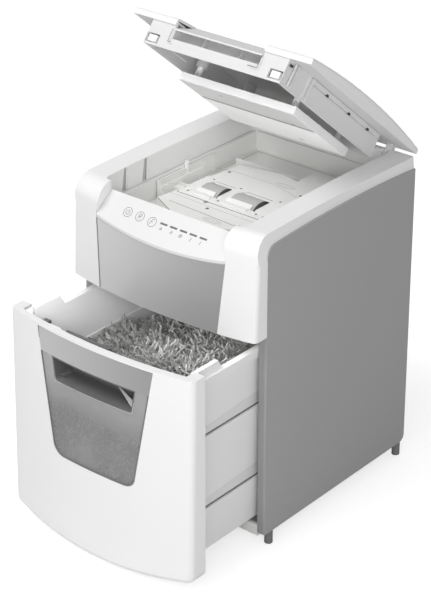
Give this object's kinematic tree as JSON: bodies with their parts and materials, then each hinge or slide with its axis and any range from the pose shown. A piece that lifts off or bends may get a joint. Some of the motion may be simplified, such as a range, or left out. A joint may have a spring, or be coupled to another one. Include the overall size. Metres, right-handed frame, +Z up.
{
  "type": "paper_shredder",
  "caption": "Floor-standing paper shredder with a sheet feed tray under a hinged lid, sloped control panel and pull-out waste bin with a smoked window.",
  "frame": {"origin": "On the floor under the middle of the cabinet: halfway between the side panels and between the cabinet's front edges and its rear panel.", "axes": "+Z up; +X to the right as seen from the front; -Y towards the front, where the bin pulls out; the hinge of the lid is at +Y."},
  "size_m": [0.3, 0.4802, 0.6362],
  "materials": {
    "white_shell": "satin",
    "grey_panel": "satin",
    "light_grey": "satin",
    "mid_grey": "satin",
    "bin_grey": "satin",
    "lid_inner": "satin",
    "presser_grey": "matte",
    "smoked_window": "gloss",
    "dark_plastic": "matte",
    "gear_plastic": "satin",
    "roller_rubber": "matte",
    "foot_rubber": "matte",
    "steel_plate": "satin",
    "cutter_steel": "satin",
    "zinc_steel": "satin",
    "motor_steel": "satin",
    "bronze": "satin",
    "circuit_board": "satin",
    "lens": "gloss",
    "paper_shreds": "matte"
  },
  "bodies": {
    "cabinet": {"base_tray": "light_grey", "feet": "foot_rubber", "side_panel_left": "grey_panel", "side_panel_right": "grey_panel", "side_frame_left": "light_grey", "side_frame_right": "light_grey", "rear_panel": "grey_panel", "rear_screws": "zinc_steel", "top_frame": "white_shell", "front_panel": "mid_grey", "control_panel": "white_shell", "indicator_lenses": "lens", "control_board": "circuit_board", "feed_tray": "light_grey", "roller_bridge": "light_grey", "paper_throat": "mid_grey", "lid_hinge_pins": "zinc_steel", "deck_plate": "steel_plate", "end_plate_left": "steel_plate", "end_plate_right": "steel_plate", "cutter_bushes": "bronze", "tie_bars": "zinc_steel", "gear_arbors": "zinc_steel", "stripper_comb_front": "dark_plastic", "stripper_comb_rear": "dark_plastic", "motor": "motor_steel", "mains_inlet": "dark_plastic", "rocker_housing": "dark_plastic", "power_board": "circuit_board", "bin_switch": "dark_plastic", "bin_runner_left": "mid_grey", "bin_runner_right": "mid_grey"},
    "cutter_front": {"cutter_shaft_front": "cutter_steel", "cutter_gear_front": "gear_plastic"},
    "cutter_rear": {"cutter_shaft_rear": "cutter_steel", "cutter_gear_rear": "gear_plastic", "cutter_drive_gear": "gear_plastic"},
    "second_reduction": {"second_gear": "gear_plastic"},
    "first_reduction": {"first_gear": "gear_plastic"},
    "motor_rotor": {"motor_pinion": "zinc_steel"},
    "idler": {"idler_gear": "gear_plastic"},
    "feed": {"feed_shaft": "zinc_steel", "feed_rollers": "roller_rubber", "feed_gear": "gear_plastic"},
    "rocker": {"power_rocker": "dark_plastic"},
    "bin": {"bin_bucket": "bin_grey", "bin_front": "white_shell", "bin_band": "mid_grey", "bin_window": "smoked_window", "bin_grip": "mid_grey", "bin_clips": "white_shell", "shredded_paper": "paper_shreds"},
    "lid": {"lid_cover": "white_shell", "lid_frame": "lid_inner", "lid_grip": "lid_inner", "presser_springs": "zinc_steel"},
    "presser": {"presser_plate": "presser_grey"},
    "latch_left": {"latch_tongue_left": "white_shell"},
    "latch_right": {"latch_tongue_right": "white_shell"},
    "plunger": {"lid_plunger": "white_shell"}
  },
  "joints": [
    {"name": "cutter_rear_spin", "type": "hinge", "parent": "cabinet", "child": "cutter_rear", "pos_m": [0, -0.038, 0.337], "axis": [1, 0, 0], "continuous": true},
    {"name": "cutter_front_spin", "type": "hinge", "parent": "cabinet", "child": "cutter_front", "pos_m": [0, -0.07, 0.337], "axis": [1, 0, 0], "continuous": true},
    {"name": "second_gear_spin", "type": "hinge", "parent": "cabinet", "child": "second_reduction", "pos_m": [0, -0.00402, 0.34299], "axis": [1, 0, 0], "continuous": true},
    {"name": "first_gear_spin", "type": "hinge", "parent": "cabinet", "child": "first_reduction", "pos_m": [0, 0.02692, 0.34734], "axis": [1, 0, 0], "continuous": true},
    {"name": "motor_spin", "type": "hinge", "parent": "cabinet", "child": "motor_rotor", "pos_m": [0, 0.05792, 0.34734], "axis": [1, 0, 0], "continuous": true},
    {"name": "idler_spin", "type": "hinge", "parent": "cabinet", "child": "idler", "pos_m": [0, -0.02307, 0.36069], "axis": [1, 0, 0], "continuous": true},
    {"name": "feed_roller_spin", "type": "hinge", "parent": "cabinet", "child": "feed", "pos_m": [0, -0.029, 0.386], "axis": [1, 0, 0], "continuous": true},
    {"name": "power_rocker_tilt", "type": "hinge", "parent": "cabinet", "child": "rocker", "pos_m": [0.062, 0.148, 0.052], "axis": [1, 0, 0], "range_deg": [0, 12]},
    {"name": "bin_slide", "type": "slide", "parent": "cabinet", "child": "bin", "axis": [0, -1, 0], "range_m": [-0.115, 0.1]},
    {"name": "lid_hinge", "type": "hinge", "parent": "cabinet", "child": "lid", "pos_m": [0, 0.154, 0.432], "axis": [-1, 0, 0], "range_deg": [-40, 0]},
    {"name": "presser_slide", "type": "slide", "parent": "lid", "child": "presser", "axis": [0, 0.6428, 0.766], "range_m": [0, 0.0129], "stiffness_N_per_m": 120, "deforming": ["presser_springs"]},
    {"name": "latch_left_slide", "type": "slide", "parent": "lid", "child": "latch_left", "axis": [0, 0.766, -0.6428], "range_m": [0, 0.0025], "stiffness_N_per_m": 200},
    {"name": "latch_right_slide", "type": "slide", "parent": "lid", "child": "latch_right", "axis": [0, 0.766, -0.6428], "range_m": [0, 0.0025], "stiffness_N_per_m": 200},
    {"name": "plunger_slide", "type": "slide", "parent": "cabinet", "child": "plunger", "axis": [0, 0, -1], "range_m": [0, 0.0063], "stiffness_N_per_m": 100}
  ],
  "couplings": [
    {"joint": "cutter_front_spin", "follows": "cutter_rear_spin", "ratio": -1},
    {"joint": "second_gear_spin", "follows": "cutter_rear_spin", "ratio": -2.8333},
    {"joint": "first_gear_spin", "follows": "cutter_rear_spin", "ratio": 7.2857},
    {"joint": "motor_spin", "follows": "cutter_rear_spin", "ratio": -30.357},
    {"joint": "idler_spin", "follows": "cutter_rear_spin", "ratio": -1.3333},
    {"joint": "feed_roller_spin", "follows": "cutter_rear_spin", "ratio": 1.1429},
    {"joint": "presser_slide", "follows": "lid_hinge", "m_per_rad": -0.018335},
    {"joint": "plunger_slide", "follows": "lid_hinge", "m_per_rad": -0.0088808}
  ]
}
